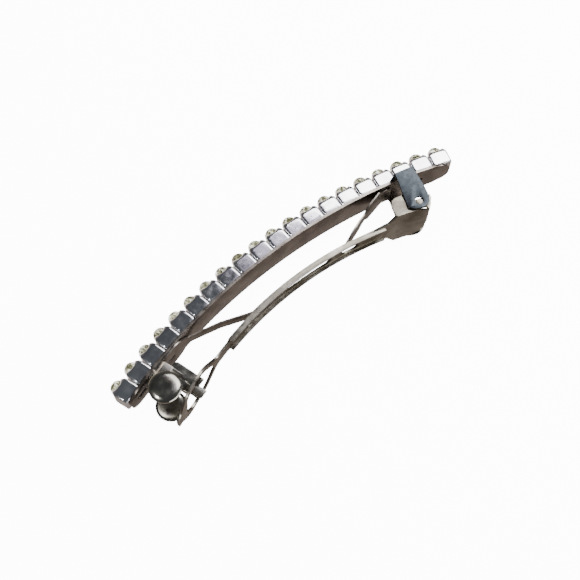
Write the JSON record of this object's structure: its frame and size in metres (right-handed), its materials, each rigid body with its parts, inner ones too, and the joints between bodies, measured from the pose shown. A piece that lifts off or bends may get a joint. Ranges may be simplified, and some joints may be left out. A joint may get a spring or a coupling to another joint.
{
  "type": "rhinestone hair clip",
  "caption": "Bowed French barrette: a sprung arm hinges under a slim plate, a pinch catch holds it, and square-set clear stones run along the top.",
  "frame": {"origin": "middle of the clip's own box in length and height, at its lowest point, with the clip lying on its side", "axes": "+X along the clip to the hinge, +Y to the stone side, +Z across its width, up as it lies"},
  "size_m": [0.0846, 0.021, 0.0127],
  "materials": {
    "plate_steel": "nickel plated spring steel, warm grey",
    "arm_steel": "nickel plated spring steel",
    "spring_steel": "thin spring strip, slightly darker",
    "catch_steel": "nickel plated spring steel, polished",
    "cup_silver": "mirror silver plated brass cups",
    "clear_stone": "clear faceted glass with a faint olive tint"
  },
  "bodies": {
    "frame": {"back_plate": "plate_steel", "tension_bar": "spring_steel", "catch_base": "catch_steel", "cup_01": "cup_silver", "cup_02": "cup_silver", "cup_03": "cup_silver", "cup_04": "cup_silver", "cup_05": "cup_silver", "cup_06": "cup_silver", "cup_07": "cup_silver", "cup_08": "cup_silver", "cup_09": "cup_silver", "cup_10": "cup_silver", "cup_11": "cup_silver", "cup_12": "cup_silver", "cup_13": "cup_silver", "cup_14": "cup_silver", "cup_15": "cup_silver", "cup_16": "cup_silver", "cup_17": "cup_silver", "cup_18": "cup_silver", "cup_19": "cup_silver", "cup_20": "cup_silver", "stone_01": "clear_stone", "stone_02": "clear_stone", "stone_03": "clear_stone", "stone_04": "clear_stone", "stone_05": "clear_stone", "stone_06": "clear_stone", "stone_07": "clear_stone", "stone_08": "clear_stone", "stone_09": "clear_stone", "stone_10": "clear_stone", "stone_11": "clear_stone", "stone_12": "clear_stone", "stone_13": "clear_stone", "stone_14": "clear_stone", "stone_15": "clear_stone", "stone_16": "clear_stone", "stone_17": "clear_stone", "stone_18": "clear_stone", "stone_19": "clear_stone", "stone_20": "clear_stone"},
    "arm": {"clip_arm": "arm_steel"},
    "wing_near": {"catch_wing_near": "catch_steel"},
    "wing_far": {"catch_wing_far": "catch_steel"}
  },
  "joints": [
    {"name": "arm_hinge", "type": "hinge", "parent": "frame", "child": "arm", "pos_m": [0.02771, -0.00571, 0.00635], "axis": [0, 0, 1], "range_deg": [0, 100]},
    {"name": "near_wing_flex", "type": "hinge", "parent": "frame", "child": "wing_near", "pos_m": [-0.0333, -0.00019, 0.00995], "axis": [0.9605, 0.2782, 0], "range_deg": [0, 7], "stiffness_Nm_per_rad": 0.02},
    {"name": "far_wing_flex", "type": "hinge", "parent": "frame", "child": "wing_far", "pos_m": [-0.0333, -0.00019, 0.00275], "axis": [0.9605, 0.2782, 0], "range_deg": [-7, 0], "stiffness_Nm_per_rad": 0.02}
  ]
}
